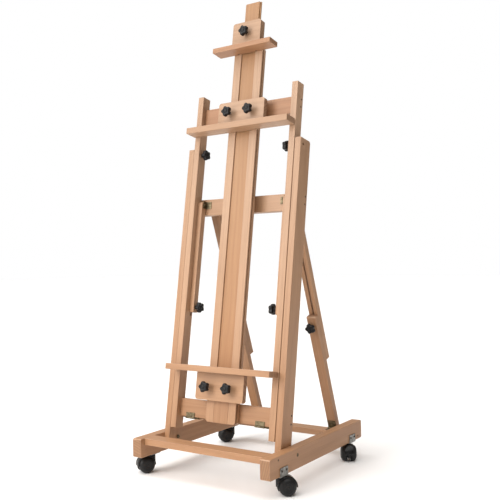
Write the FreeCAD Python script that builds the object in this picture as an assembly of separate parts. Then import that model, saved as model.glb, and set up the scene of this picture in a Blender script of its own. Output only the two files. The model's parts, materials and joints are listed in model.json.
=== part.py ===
"""Studio easel in wood: a base on casters, a leaning outer frame held by two telescopic
struts, an H-shaped inner frame that tilts forward out of it, and a central mast that
carries a tray, an upper holder and a top clamp.  Millimetres, +Z up, -Y is the front.
The origin is on the floor, in the middle of the base."""
import FreeCAD, Part
import math
import os

V = FreeCAD.Vector
X_AXIS = V(1, 0, 0)
Y_AXIS = V(0, 1, 0)
Z_AXIS = V(0, 0, 1)

# ---------------------------------------------------------------- overall sizes
BASE_W = 600.0           # outside to outside of the skids
BASE_D = 700.0           # length of a skid
FRAME_TOP = 1121.0       # top of a post above the skid tops, along the lean
RAIL_TOP = FRAME_TOP + 220.0     # top of a rail of the inner frame
MAST_TOP = RAIL_TOP + 158.0      # top of the outer mast
INNER_TOP = MAST_TOP + 205.0     # top of the sliding inner mast
LEAN = 9.2               # backward lean of the frame in degrees

# ---------------------------------------------------------------- clearances
GAP = 0.3                # between faces that only lie against each other
RUN = 0.05               # radial play of a pin in its bore
SCREW_PLAY = 0.1         # radial play of a screw in its hole
SLIDE_PLAY = 0.4         # each side of a piece that slides along another
EASE = 1.5               # rounding of sawn edges
SLIM_EASE = 1.0          # rounding of the mast's inner boards
TONGUE_EASE = 0.8
LEDGE_EASE = 2.0
THROUGH = 1.0            # how far a cutter stands out of the face it opens
TINY = 1e-6              # a length below this counts as nothing

# ---------------------------------------------------------------- base
SKID_T = 39.0
SKID_H = 70.0
SKID_ROUND = 7.0
CASTER_H = 70.0
SKID_TOP = CASTER_H + SKID_H
SKID_IN = BASE_W / 2 - SKID_T
BOARD_T = 24.0
BOARD_D = 58.0
FRONT_BOARD_SET = 20.0   # front board behind the skids' front ends
REAR_BOARD_SET = 3.0     # rear board in front of the skids' rear ends
FRONT_SCREW_SET = 34.8   # front side screws behind the front board's front
SIDE_SCREW_LEN = SKID_T + 30.0

# ---------------------------------------------------------------- casters
WHEEL_R = 31.0
WHEEL_T = 24.0
WHEEL_SPREAD = 37.0      # centre to centre of the twin wheels
WHEEL_SHOULDER = 9.0     # rounding of the outer side
WHEEL_EASE = 2.5
HOOD_PLAY = 1.3
HOOD_T = 2.5
HOOD_HALF = 17.0
HOOD_FOOT = 28.0         # lowest edge of the hood above the floor
WEB_T = 11.0
AXLE_R = 4.0
TRAIL = 27.0
STEM_R = 5.0
SOCKET_R = 11.0
PLATE_T = 2.5
PLATE_W = 50.0
PLATE_UP = 28.0
PLATE_SET = 2.0          # a plate's foot outside the skid's inner face
PLATE_SCREWS = 15.0      # screws to each side of a plate's middle
PLATE_SCREW_UP = 17.4
PLATE_SCREW_LEN = 18.0
CASTER_SET = 87.0        # swivel centre from a skid's end
CASTERS = {              # side, end and direction of the trailing wheels in degrees from +X
    "front_right": (1, -1, 44.0),
    "front_left": (-1, -1, 240.0),
    "rear_right": (1, 1, -58.0),
    "rear_left": (-1, 1, 216.0),
}

# ---------------------------------------------------------------- outer frame
POST_FRONT_Y = -215.0    # front of the posts where they pass the skid tops
POST_W = 25.5
POST_D = 72.0
POST_FOOT = -50.0
BAR_T = 23.0
BAR_H = 65.0
MID_BAR_TOP = FRAME_TOP - 200.0
LOW_BAR_TOP = 126.0
LEAN_PIVOT = (51.0, -15.5)   # depth and height of the post's pivot bolt
LEAN_BOLT_R = 4.0
LEAN_HEAD_R = 7.0
LEAN_HEAD_T = 4.0
LEAN_BOLT_END = 8.0      # bolt's end past the post's inner face
POST_PLAY = 0.4          # between a post and the skid beside it
POST_ROUND = 9.0
POST_SCREW_LEN = POST_W + 35.0
SCREW_R = 2.0
SCREW_HEAD_R = 4.2
SCREW_HEAD_T = 2.6
DOME_R = 5.46            # dome of a pan head and the depth of its centre
DOME_SINK = 3.36
SCREW_FROM_TOP = 13.4
SCREW_PITCH = 29.4

# ---------------------------------------------------------------- inner frame
RAIL_W = 25.5
RAIL_D = 45.0
RAIL_SET = 5.8           # rails' backs in front of the outer frame's bars
RAIL_FOOT = 22.6
RAIL_GAP = 1.7           # between a rail and the post beside it
CROSS_T = 23.4
CROSS_SET = 21.6         # cross-bars behind the rails' fronts
CROSS_H = 66.0
UPPER_CROSS_TOP = RAIL_TOP - 50.0
LOWER_CROSS_TOP = 134.0
RAIL_SCREW_LEN = RAIL_W + 35.0
MAST_SCREW_LEN = CROSS_T + 14.0

# ---------------------------------------------------------------- lock bolts and stays
LOCK = (20.2, FRAME_TOP - 23.0)  # depth and height of the lock bolts
LOCK_THREAD = 22.0       # lock bolt's end past the rail's inner face
LOCK_NOTCH_PLAY = 0.6
BOLT_R = 3.0
STAY_W = 20.0
STAY_D = 26.0
STAY_LEN = 411.0         # pivot to bolt
STAY_END = 20.0
STAY_PIVOT = (34.5, MID_BAR_TOP - 25.0)
STAY_BOLT = (STAY_PIVOT[0], STAY_PIVOT[1] - STAY_LEN)
STAY_SLOT_W = 9.0
STAY_SLOT = (STAY_BOLT[1] - 29.0, STAY_BOLT[1] + 55.0)
NUT_R = 5.5
NUT_T = 3.5
NUT_SINK = 1.5           # slot's wide part deeper than the nut
NUT_SET = 0.7            # nut's outer face under the rail's

# ---------------------------------------------------------------- hinges and brackets
HINGE_W = 40.0
HINGE_T = 2.0
KNUCKLE_R = 3.5
PIN_R = 1.5
LEAF_TOP = 34.0
FOOT_LEAF_D = 22.0       # fixed foot leaf in front of its pin
FOOT_LEAF_HALF = 18.0    # half width of a strut's own leaf
KNUCKLE_NECK = 4.0
TILT_X = 157.0           # middle of a tilt hinge
TILT_LEAF_SET = 5.0      # fixed leaf behind its pin
TILT_LEAF_STEP = 2.0     # step of the fixed leaf behind the cross-bar
TILT_LEAF_TAIL = 18.0    # fixed leaf behind the rear low bar's front
TILT_LEAF_LOW = 1.0      # moving leaf above the cross-bar's underside
TILT_LEAF_TOP = 16.0
TILT_NECK_TOP = 2.0      # moving leaf's knuckle necks above the same underside
TILT_ROOM = 6.0          # room for the fixed knuckle around the pin
TILT_ROOM_TOP = 1.5
EAR_HALF = 14.0          # half height of a stay bracket
EAR_FRONT = 7.0          # bracket's ear in front of the pivot
EAR_FOOT = 24.0          # bracket's foot inward of the ear
EAR_SCREW_SET = 13.0     # screws inward of the ear
EAR_SCREW_RISE = 8.0     # screws above and below the pivot
EAR_SCREW_LEN = 14.0
PIN_CAP_T = 3.0
FORK_T = 3.0
FORK_PLAY = 0.8          # between a fork's arm and the strut's head
FORK_ARM = 12.0          # half height of an arm
FORK_BELOW = 32.0        # fork's plate below and above the pin
FORK_ABOVE = 13.0

# ---------------------------------------------------------------- mast
MAST_W = 132.0
STRIP_W = 33.5
MAST_D = 26.0
MAST_FOOT = 61.0
SIDE_GROOVE = (5.0, 8.0, 8.0)    # behind the front, width, depth
INNER_SET = 5.0          # inner mast behind the strips' fronts
INNER_D = 16.0
INNER_FOOT = 180.0
TONGUE = (5.5, 6.0, 5.0)         # behind the inner mast's front, thickness, reach
FOOT_BLOCK_H = 110.0
MAST_CHAMFER = 8.0

# ---------------------------------------------------------------- holders
PLATE_HALF = 106.0
HOLDER_T = 21.0
LEDGE_HALF = 233.0
LEDGE_D = 57.0
CHEEK_T = 16.0
CHEEK_REAR_PLAY = 3.5
HOLDER_ROUND = 10.0
UPPER_TOP = RAIL_TOP - 54.0
UPPER_LEDGE = (UPPER_TOP - 119.0, 24.0)  # underside and thickness
TRAY_LEDGE = (241.0, 22.0)
TRAY_FOOT = 140.0
CHEEK_SHORT = 2.0        # cheek's ends inside the block's
HOLDER_SCREW_X = 70.0
HOLDER_SCREW_LEN = 48.0
PRESS_X = 48.5
UPPER_KNOB_S = UPPER_TOP - 47.0
TRAY_KNOB_S = TRAY_FOOT + 48.0
PRESS_REACH = 20.0       # knob head stands off the holder's front

# ---------------------------------------------------------------- top clamp
CLAMP_HALF = 65.0
CLAMP_T = 29.0
CLAMP_LEDGE = (MAST_TOP - 10.0, 20.0)
CLAMP_TOP = CLAMP_LEDGE[0] + 123.0
CLAMP_LEDGE_HALF = 134.0
CLAMP_CHEEK_T = 15.0
CLAMP_KNOB_S = CLAMP_TOP - 47.0
CLAMP_SCREW_X = 40.3
CLAMP_SCREW_SET = 18.0   # screws behind the clamp's front
CLAMP_SCREW_LEN = 45.0
CLAMP_KNOB_OUT = 13.0    # knob head off the clamp's front

# ---------------------------------------------------------------- struts
STRUT_SET = 24.3         # strut's middle inside the rails
STRUT_W = 40.0
STRUT_T = 25.0
FOOT_Y = 535.0           # foot hinge, behind the posts' front
FOOT_KNUCKLE = 4.0
FOOT_CLEAR = 2.8         # room under a strut's foot for its swing
STRUT_BEVEL = 6.0
HEAD = (100.0, MID_BAR_TOP - 16.0)   # depth and height of the head pin in the frame
HEAD_PIN_R = 3.0
HEAD_HOLE_R = 5.0
STRUT_SHARE = 0.517      # length of the lower bar over the whole strut
STRUT_LAP = 198.0        # how far the two bars overlap
STRUT_BOLT_DROP = 41.0   # bolt below the lower bar's top
STRUT_SLOT_W = 7.5
STRUT_SLOT_LOW = 113.0   # slot's low end below the lower bar's top
STRUT_SLOT_HIGH = 163.0  # slot's high end below the head pin

# ---------------------------------------------------------------- knobs
KNOB_R = 20.0
KNOB_T = 17.0
KNOB_CORE_R = 15.5
LOBES = 5
LOBE_R = 6.2
HUB_R = 8.0
HUB_T = 12.0

# ---------------------------------------------------------------- derived places
POST_IN = SKID_IN - POST_W
RAIL_OUT = POST_IN - RAIL_GAP
RAIL_IN = RAIL_OUT - RAIL_W
BAR_FRONT = POST_D - BAR_T
RAIL_REAR = BAR_FRONT - RAIL_SET
RAIL_FRONT = RAIL_REAR - RAIL_D
CROSS_FRONT = RAIL_FRONT + CROSS_SET
CROSS_REAR = CROSS_FRONT + CROSS_T
STRUT_X = RAIL_IN - STRUT_SET
MAST_REAR = CROSS_FRONT - GAP
MAST_FRONT = MAST_REAR - MAST_D
STRIP_IN = MAST_W / 2 - STRIP_W
INNER_FRONT = MAST_FRONT + INNER_SET
INNER_HALF = STRIP_IN - SLIDE_PLAY
BACK_FRONT = INNER_FRONT + INNER_D + SLIDE_PLAY
HOLDER_FRONT = MAST_FRONT - GAP - HOLDER_T
STAY_OUT = RAIL_IN - GAP
STAY_IN = STAY_OUT - STAY_W
TILT_PIVOT = (CROSS_FRONT - HINGE_T, LOWER_CROSS_TOP - CROSS_H - KNUCKLE_R)
BOARD_Z = SKID_TOP - BOARD_T
REAR_BOARD_Z = CASTER_H
FRONT_BOARD_Y = -BASE_D / 2 + FRONT_BOARD_SET
REAR_BOARD_Y = BASE_D / 2 - REAR_BOARD_SET - BOARD_D
PLATE_LOW = CASTER_H - GAP - PLATE_T
POST_OUT = SKID_IN - POST_PLAY
UPPER_LOW = UPPER_LEDGE[0] + UPPER_LEDGE[1] + GAP
TRAY_HIGH = TRAY_LEDGE[0] - GAP
CLAMP_FRONT = INNER_FRONT - GAP - CLAMP_T
CLAMP_LOW = CLAMP_LEDGE[0] + CLAMP_LEDGE[1] + GAP
EAR_IN = STAY_IN - GAP - HINGE_T     # inner face of a stay bracket's ear
FOOT_PIVOT = V(0, POST_FRONT_Y + FOOT_Y, REAR_BOARD_Z + BOARD_T + FOOT_KNUCKLE)


def lean_point(depth, height):
    """Place in the row frame of a point given in the leaning frame."""
    a = math.radians(LEAN)
    y = POST_FRONT_Y + height * math.sin(a) + depth * math.cos(a)
    z = SKID_TOP + height * math.cos(a) - depth * math.sin(a)
    return V(0, y, z)


STRUT_FACE = FOOT_KNUCKLE                          # lower bar's front behind the foot pivot
UPPER_FACE = STRUT_FACE + STRUT_T + GAP
HEAD_REACH = lean_point(*HEAD) - FOOT_PIVOT
HEAD_N = UPPER_FACE + STRUT_T / 2
HEAD_U = math.sqrt(HEAD_REACH.Length ** 2 - HEAD_N ** 2)
LOWER_LEN = HEAD_U * STRUT_SHARE
UPPER_FOOT = LOWER_LEN - STRUT_LAP
STRUT_BOLT_U = LOWER_LEN - STRUT_BOLT_DROP
STRUT_SLOT = (LOWER_LEN - STRUT_SLOT_LOW, HEAD_U - STRUT_SLOT_HIGH)
STRUT_LEAN = (math.degrees(math.atan2(-HEAD_REACH.y, HEAD_REACH.z))
              + math.degrees(math.atan2(HEAD_N, HEAD_U)))


# ---------------------------------------------------------------- helpers
def block(x0, x1, y0, y1, z0, z1):
    return Part.makeBox(x1 - x0, y1 - y0, z1 - z0, V(x0, y0, z0))


def board(x0, x1, y0, y1, z0, z1, ease=EASE):
    """A planed board with all its edges eased."""
    body = block(x0, x1, y0, y1, z0, z1)
    return body.makeFillet(ease, body.Edges)


def rod(start, axis, radius, length):
    return Part.makeCylinder(radius, length, start, axis)


def slot(centre_a, centre_b, axis, width, length):
    """A round-ended cutter from one centre line to the other."""
    ends = [rod(centre_a, axis, width / 2, length), rod(centre_b, axis, width / 2, length)]
    run = centre_b - centre_a
    side = run.cross(axis).normalize() * (width / 2)
    corners = [centre_a + side, centre_b + side, centre_b - side, centre_a - side, centre_a + side]
    middle = Part.Face(Part.makePolygon(corners)).extrude(axis * length)
    return ends[0].fuse([ends[1], middle]).removeSplitter()


def fused(parts):
    return parts[0].fuse(parts[1:]).removeSplitter() if len(parts) > 1 else parts[0]


def mirrored(shape):
    return shape.mirror(V(0, 0, 0), X_AXIS)


def group(solids):
    return Part.makeCompound(solids)


def leaned(shape):
    """Carry a shape drawn upright (X, depth, height) into the leaning frame."""
    placed = shape.copy()
    placed.rotate(V(0, 0, 0), X_AXIS, -LEAN)
    placed.translate(V(0, POST_FRONT_Y, SKID_TOP))
    return placed


def strutted(shape):
    """Carry a shape drawn upright from the foot pivot into the strut's slope."""
    placed = shape.copy()
    placed.rotate(V(0, 0, 0), X_AXIS, STRUT_LEAN)
    placed.translate(FOOT_PIVOT)
    return placed


def export(shape, name):
    shape.exportStep("parts/%s.step" % name)


def runs_along_x(edge):
    return edge.BoundBox.YLength < TINY and edge.BoundBox.ZLength < TINY


def runs_along_y(edge):
    return edge.BoundBox.XLength < TINY and edge.BoundBox.ZLength < TINY


def lies_flat_in_x(edge):
    return edge.BoundBox.XLength < TINY


# ---------------------------------------------------------------- fasteners
def screw(point, into, length):
    """A screw sunk flush: its head's top lies just under the surface at point."""
    start = point + into * GAP
    head = Part.makeCone(SCREW_HEAD_R, SCREW_R, SCREW_HEAD_T, start, into)
    shank = rod(start + into * SCREW_HEAD_T, into, SCREW_R, length - SCREW_HEAD_T)
    return fused([head, shank])


def screw_hole(point, into, length):
    """The hole a flush screw sits in."""
    start = point - into * GAP
    mouth_r = SCREW_HEAD_R + SCREW_PLAY
    mouth = rod(start, into, mouth_r, 2 * GAP)
    cone = Part.makeCone(mouth_r, SCREW_R + SCREW_PLAY, SCREW_HEAD_T, point + into * GAP, into)
    shank = rod(point, into, SCREW_R + SCREW_PLAY, length + 2 * GAP)
    return fused([mouth, cone, shank])


def cut_screws(body, points, length):
    for point, into in points:
        body = body.cut(screw_hole(point, into, length))
    return body


def cut_pilots(body, points, length):
    """Plain holes for screws that come in through the piece next to this one."""
    for point, into in points:
        body = body.cut(rod(point, into, SCREW_R + SCREW_PLAY, length + GAP))
    return body


def pan_screw(point, into, length):
    """A screw whose domed head stands on the surface at point."""
    ball = Part.makeSphere(DOME_R, point + into * DOME_SINK)
    keep = rod(point - into * SCREW_HEAD_T, into, SCREW_HEAD_R, SCREW_HEAD_T)
    shank = rod(point, into, SCREW_R, length)
    return fused([ball.common(keep), shank])


def knob(point, out, stand_off, stud_in, nut_at=None):
    """A star knob whose hub stands over point; its stud runs back through the work."""
    hub_start = point + out * (stand_off - HUB_T)
    head_start = point + out * stand_off
    parts = [rod(hub_start, out, HUB_R, HUB_T + THROUGH)]
    parts.append(rod(head_start, out, KNOB_CORE_R, KNOB_T))
    side = out.cross(Z_AXIS if abs(out.x) > TINY else X_AXIS).normalize()
    up = out.cross(side)
    for i in range(LOBES):
        turn = 2 * math.pi * i / LOBES
        arm = side * math.cos(turn) + up * math.sin(turn)
        parts.append(rod(head_start + arm * (KNOB_R - LOBE_R), out, LOBE_R, KNOB_T))
    stud_len = stud_in + stand_off - HUB_T + THROUGH
    parts.append(rod(point - out * stud_in, out, BOLT_R, stud_len))
    if nut_at is not None:
        parts.append(rod(point - out * (nut_at + NUT_T), out, NUT_R, NUT_T))
    return fused(parts)


# ---------------------------------------------------------------- base
def caster_centre(side, end):
    return V(side * (BASE_W / 2 - SKID_T / 2), end * (BASE_D / 2 - CASTER_SET), 0)


def board_screw_points():
    """Screws through the skids into the ends of the two boards."""
    front_y = FRONT_BOARD_Y + FRONT_SCREW_SET
    rear_y = REAR_BOARD_Y + BOARD_D / 2
    points = []
    for side in (-1, 1):
        points.append((V(side * BASE_W / 2, front_y, BOARD_Z + BOARD_T / 2), X_AXIS * -side))
        points.append((V(side * BASE_W / 2, rear_y, REAR_BOARD_Z + BOARD_T / 2), X_AXIS * -side))
    return points


def plate_screw_points():
    """Screws through the caster plates into the skids' outer faces."""
    face = BASE_W / 2 + GAP + PLATE_T
    points = []
    for side, end, _turn in CASTERS.values():
        y = caster_centre(side, end).y
        for dy in (-PLATE_SCREWS, PLATE_SCREWS):
            points.append((V(side * face, y + dy, CASTER_H + PLATE_SCREW_UP), X_AXIS * -side))
    return points


def skid(side):
    """Side member of the base with round ends and the bore for the frame's pivot bolt."""
    half = BASE_D / 2
    body = block(SKID_IN, BASE_W / 2, -half, half, CASTER_H, SKID_TOP)
    body = body.makeFillet(SKID_ROUND, [e for e in body.Edges if runs_along_x(e)])
    body = body.makeFillet(EASE, [e for e in body.Edges if lies_flat_in_x(e)])
    body = mirrored(body) if side < 0 else body
    body = cut_screws(body, board_screw_points(), SIDE_SCREW_LEN)
    body = cut_pilots(body, plate_screw_points(), PLATE_SCREW_LEN)
    pivot = lean_point(*LEAN_PIVOT)
    inner = V(side * (SKID_IN - THROUGH), pivot.y, pivot.z)
    body = body.cut(rod(inner, X_AXIS * side, LEAN_BOLT_R + RUN, SKID_T + 2 * THROUGH))
    sink = V(side * (BASE_W / 2 + THROUGH), pivot.y, pivot.z)
    return body.cut(rod(sink, X_AXIS * -side, LEAN_HEAD_R + SCREW_PLAY, LEAN_HEAD_T + GAP + THROUGH))


def lean_bolt(side):
    """Pivot bolt: head sunk in the skid's outer face, nut on the post's inner face."""
    pivot = lean_point(*LEAN_PIVOT)
    head = V(side * (BASE_W / 2 - GAP), pivot.y, pivot.z)
    shank = SKID_T + POST_W + LEAN_BOLT_END
    parts = [rod(head, X_AXIS * -side, LEAN_HEAD_R, LEAN_HEAD_T)]
    parts.append(rod(head, X_AXIS * -side, LEAN_BOLT_R, shank))
    nut = V(side * (POST_IN - GAP), pivot.y, pivot.z)
    parts.append(rod(nut, X_AXIS * -side, LEAN_HEAD_R, LEAN_HEAD_T))
    return fused(parts)


def cross_board(y_front, z_low):
    body = board(-SKID_IN + GAP, SKID_IN - GAP, y_front, y_front + BOARD_D, z_low, z_low + BOARD_T)
    return cut_pilots(body, board_screw_points(), SIDE_SCREW_LEN)


def caster_plate(side, end):
    """Angle plate under a skid with its upright leg screwed to the outer side."""
    centre = caster_centre(1, end)
    front = centre.y - PLATE_W / 2
    rear = centre.y + PLATE_W / 2
    outer = BASE_W / 2 + GAP
    foot = block(SKID_IN + PLATE_SET, outer + PLATE_T, front, rear, PLATE_LOW, PLATE_LOW + PLATE_T)
    leg = block(outer, outer + PLATE_T, front, rear, PLATE_LOW, CASTER_H + PLATE_UP)
    stem_start = V(centre.x, centre.y, PLATE_LOW - THROUGH)
    body = fused([foot, leg]).cut(rod(stem_start, Z_AXIS, STEM_R + RUN, PLATE_T + 2 * THROUGH))
    body = mirrored(body) if side < 0 else body
    return cut_pilots(body, plate_screw_points(), PLATE_T)


def foot_leaves():
    """Fixed halves of the strut foot hinges, lying on the rear board."""
    solids = []
    low = REAR_BOARD_Z + BOARD_T + GAP
    y = FOOT_PIVOT.y
    z = FOOT_PIVOT.z
    half = HINGE_W / 2
    neck_half = HINGE_W / 6
    for side in (-1, 1):
        x = side * STRUT_X
        leaf = block(x - half, x + half, y - FOOT_LEAF_D, y, low, low + HINGE_T)
        pin = rod(V(x - half, y, z), X_AXIS, PIN_R, HINGE_W)
        middle = rod(V(x - neck_half, y, z), X_AXIS, KNUCKLE_R, 2 * neck_half)
        room = rod(V(x - HINGE_W, y, z), X_AXIS, KNUCKLE_R + GAP, 2 * HINGE_W)
        neck = block(x - neck_half, x + neck_half, y - KNUCKLE_NECK, y + THROUGH, low, z)
        solids.append(fused([leaf.cut(room), neck, middle, pin]))
    return group(solids)


# ---------------------------------------------------------------- casters
def place_caster(shape, side, end, turn):
    placed = shape.copy()
    placed.rotate(V(0, 0, 0), Z_AXIS, turn)
    placed.translate(caster_centre(side, end))
    return placed


def caster_hood():
    """Hood, web and stem, drawn about the swivel axis with the wheels trailing along +X."""
    axle = V(TRAIL, 0, WHEEL_R)
    inner_r = WHEEL_R + HOOD_PLAY
    outer_r = inner_r + HOOD_T
    top = PLATE_LOW
    reach = 3 * WHEEL_R
    shell = rod(axle - Y_AXIS * HOOD_HALF, Y_AXIS, outer_r, 2 * HOOD_HALF)
    shell = shell.cut(rod(axle - Y_AXIS * reach, Y_AXIS, inner_r, 2 * reach))
    shell = shell.common(block(-reach, reach, -reach, reach, HOOD_FOOT, CASTER_H))
    web = rod(axle - Y_AXIS * (WEB_T / 2), Y_AXIS, inner_r + HOOD_T / 2, WEB_T)
    web = web.common(block(-reach, reach, -reach, reach, WHEEL_R / 2, CASTER_H))
    socket = rod(V(0, 0, WHEEL_R), Z_AXIS, SOCKET_R, top - GAP - WHEEL_R)
    room = rod(axle + Y_AXIS * (WEB_T / 2), Y_AXIS, inner_r, reach)
    room = room.fuse(rod(axle - Y_AXIS * (WEB_T / 2), Y_AXIS * -1, inner_r, reach))
    stem = rod(V(0, 0, top - 2 * STEM_R), Z_AXIS, STEM_R, 2 * STEM_R + PLATE_T)
    body = fused([shell, web, socket.cut(room), stem])
    return body.cut(rod(axle - Y_AXIS * reach, Y_AXIS, AXLE_R + RUN, 2 * reach))


def rims(disc):
    """Circular edges of a disc about the Y axis, the one nearest the middle first."""
    edges = [e for e in disc.Edges if e.BoundBox.YLength < TINY]
    return sorted(edges, key=lambda e: abs(e.CenterOfMass.y))


def caster_wheels():
    """The two domed wheels of a caster on their common axle."""
    axle = V(TRAIL, 0, WHEEL_R)
    parts = [rod(axle - Y_AXIS * (WHEEL_SPREAD / 2), Y_AXIS, AXLE_R, WHEEL_SPREAD)]
    for side in (-1, 1):
        start = axle + Y_AXIS * (side * (WHEEL_SPREAD - WHEEL_T) / 2)
        disc = rod(start, Y_AXIS * side, WHEEL_R, WHEEL_T)
        disc = disc.makeFillet(WHEEL_EASE, rims(disc)[:1])
        parts.append(disc.makeFillet(WHEEL_SHOULDER, rims(disc)[-1:]))
    return fused(parts)


# ---------------------------------------------------------------- outer frame
def bar_screw_points(top, half, depth):
    """Two screws through each upright into the end of a cross-bar."""
    points = []
    for side in (-1, 1):
        for drop in (SCREW_FROM_TOP, SCREW_FROM_TOP + SCREW_PITCH):
            points.append((V(side * half, depth, top - drop), X_AXIS * -side))
    return points


def post_screws():
    depth = BAR_FRONT + BAR_T / 2
    return (bar_screw_points(MID_BAR_TOP, SKID_IN, depth)
            + bar_screw_points(LOW_BAR_TOP, SKID_IN, depth))


def rail_screws():
    depth = CROSS_FRONT + CROSS_T / 2
    return (bar_screw_points(UPPER_CROSS_TOP, RAIL_OUT, depth)
            + bar_screw_points(LOWER_CROSS_TOP, RAIL_OUT, depth))


def post(side):
    """Leaning upright, square at its top front corner and round at the other three."""
    body = block(POST_IN, POST_OUT, 0, POST_D, POST_FOOT, FRAME_TOP)
    across = [e for e in body.Edges if runs_along_x(e)
              and not (e.BoundBox.YMin < TINY and e.BoundBox.ZMin > 0)]
    body = body.makeFillet(POST_ROUND, across)
    body = body.makeFillet(EASE, [e for e in body.Edges if lies_flat_in_x(e)])
    body = mirrored(body) if side < 0 else body
    body = cut_screws(body, post_screws(), POST_SCREW_LEN)
    x = side * (POST_IN - THROUGH)
    through = POST_W + 2 * THROUGH
    body = body.cut(rod(V(x, *LEAN_PIVOT), X_AXIS * side, LEAN_BOLT_R + RUN, through))
    body = body.cut(rod(V(x, *LOCK), X_AXIS * side, BOLT_R + SCREW_PLAY, through))
    sink = V(side * (POST_OUT + THROUGH), *LOCK)
    body = body.cut(rod(sink, X_AXIS * -side, NUT_R + SCREW_PLAY, NUT_T + GAP + THROUGH))
    return leaned(body)


def frame_bar(top):
    body = board(-POST_IN + GAP, POST_IN - GAP, BAR_FRONT, POST_D, top - BAR_H, top)
    return cut_pilots(body, post_screws(), POST_SCREW_LEN)


def lock_bolt(side):
    """Bolt through a post; its end takes the lock knob on the rail's inner side."""
    outer = POST_OUT - GAP
    reach = outer - (RAIL_IN - LOCK_THREAD)
    head = V(side * outer, *LOCK)
    parts = [rod(head, X_AXIS * -side, NUT_R, NUT_T)]
    parts.append(rod(head, X_AXIS * -side, BOLT_R, reach))
    return fused(parts)


def lock_knob(side):
    """Star knob that turns on the end of the lock bolt."""
    point = V(side * (RAIL_IN - GAP), *LOCK)
    body = knob(point, X_AXIS * -side, HUB_T, 0.0)
    bore = rod(point + X_AXIS * side, X_AXIS * -side, BOLT_R + RUN, LOCK_THREAD + 2 * THROUGH)
    return leaned(body.cut(bore))


def stay_bracket(side):
    """Angle bracket on the middle bar that carries the stay's pivot bolt."""
    depth, height = STAY_PIVOT
    front = BAR_FRONT - GAP
    low = height - EAR_HALF
    high = height + EAR_HALF
    ear = block(EAR_IN, EAR_IN + HINGE_T, depth - EAR_FRONT, front, low, high)
    foot = block(EAR_IN - EAR_FOOT, EAR_IN + HINGE_T, front - HINGE_T, front, low, high)
    pin_start = V(EAR_IN - PIN_CAP_T, depth, height)
    pin = rod(pin_start, X_AXIS, BOLT_R, STAY_OUT - GAP - pin_start.x)
    cap = rod(pin_start, X_AXIS, NUT_R, PIN_CAP_T)
    screws = [pan_screw(point - into * HINGE_T, into, EAR_SCREW_LEN)
              for point, into in ear_screw_points(1)]
    body = fused([ear, foot, pin, cap] + screws)
    return mirrored(body) if side < 0 else body


def ear_screw_points(side):
    """Screws of a stay bracket into the middle bar's front."""
    x = side * (EAR_IN - EAR_SCREW_SET)
    return [(V(x, BAR_FRONT - GAP, STAY_PIVOT[1] + rise), Y_AXIS)
            for rise in (-EAR_SCREW_RISE, EAR_SCREW_RISE)]


def middle_bar():
    body = frame_bar(MID_BAR_TOP)
    for side in (-1, 1):
        body = cut_pilots(body, ear_screw_points(side), EAR_SCREW_LEN)
    return body


def tilt_leaf_fixed(side):
    """Long leaf under the lower bars, with the hinge's middle knuckle and pin."""
    depth, height = TILT_PIVOT
    left = side * TILT_X - HINGE_W / 2
    right = left + HINGE_W
    neck_left = left + HINGE_W / 3
    neck_right = right - HINGE_W / 3
    top = LOWER_CROSS_TOP - CROSS_H - GAP
    drop = LOW_BAR_TOP - BAR_H - GAP
    step = CROSS_REAR + TILT_LEAF_STEP
    leaf = block(left, right, depth + TILT_LEAF_SET, step + HINGE_T, top - HINGE_T, top)
    rise = block(left, right, step, step + HINGE_T, drop - HINGE_T, top)
    tail = block(left, right, step, BAR_FRONT + TILT_LEAF_TAIL, drop - HINGE_T, drop)
    pin = rod(V(left, depth, height), X_AXIS, PIN_R, HINGE_W)
    middle = rod(V(neck_left, depth, height), X_AXIS, KNUCKLE_R, HINGE_W / 3)
    neck = block(neck_left, neck_right, depth, depth + TILT_LEAF_SET + THROUGH, top - HINGE_T, top)
    return fused([leaf, rise, tail, pin, middle, neck])


def head_bracket(side):
    """Fork on the back of the middle bar with the pin of a strut's upper end."""
    x = side * STRUT_X
    depth, height = HEAD
    rear = POST_D + GAP
    half = STRUT_W / 2 + FORK_PLAY + FORK_T
    plate = block(x - half, x + half, rear, rear + FORK_T, height - FORK_BELOW, height + FORK_ABOVE)
    pin = rod(V(x - half, depth, height), X_AXIS, HEAD_PIN_R, 2 * half)
    parts = [plate, pin]
    for start in (x - half, x + half - FORK_T):
        parts.append(block(start, start + FORK_T, rear, depth, height - FORK_ARM, height + FORK_ARM))
        parts.append(rod(V(start, depth, height), X_AXIS, FORK_ARM, FORK_T))
    return fused(parts)


# ---------------------------------------------------------------- inner frame
def rail(side):
    """Rail with a stepped slot for the stay's bolt and a notch for the lock bolt."""
    out = X_AXIS * side
    through = RAIL_W + 2 * THROUGH
    body = board(RAIL_IN, RAIL_OUT, RAIL_FRONT, RAIL_REAR, RAIL_FOOT, RAIL_TOP)
    body = mirrored(body) if side < 0 else body
    body = cut_screws(body, rail_screws(), RAIL_SCREW_LEN)
    face = side * (RAIL_IN - THROUGH)
    low = V(face, STAY_BOLT[0], STAY_SLOT[0])
    high = V(face, STAY_BOLT[0], STAY_SLOT[1])
    body = body.cut(slot(low, high, out, STAY_SLOT_W, through))
    deeper = out * (THROUGH + RAIL_W - NUT_T - NUT_SINK)
    nut_way = STAY_SLOT_W + 2 * (NUT_R - BOLT_R)
    body = body.cut(slot(low + deeper, high + deeper, out, nut_way, NUT_T + 2 * NUT_SINK))
    notch_w = 2 * (BOLT_R + LOCK_NOTCH_PLAY)
    mouth = slot(V(face, *LOCK), V(face, POST_D, LOCK[1]), out, notch_w, through)
    return leaned(body.cut(mouth))


def cross_bar(top):
    body = board(-RAIL_IN + GAP, RAIL_IN - GAP, CROSS_FRONT, CROSS_REAR, top - CROSS_H, top)
    body = cut_pilots(body, rail_screws(), RAIL_SCREW_LEN)
    return leaned(cut_screws(body, mast_screw_points(), MAST_SCREW_LEN))


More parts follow.
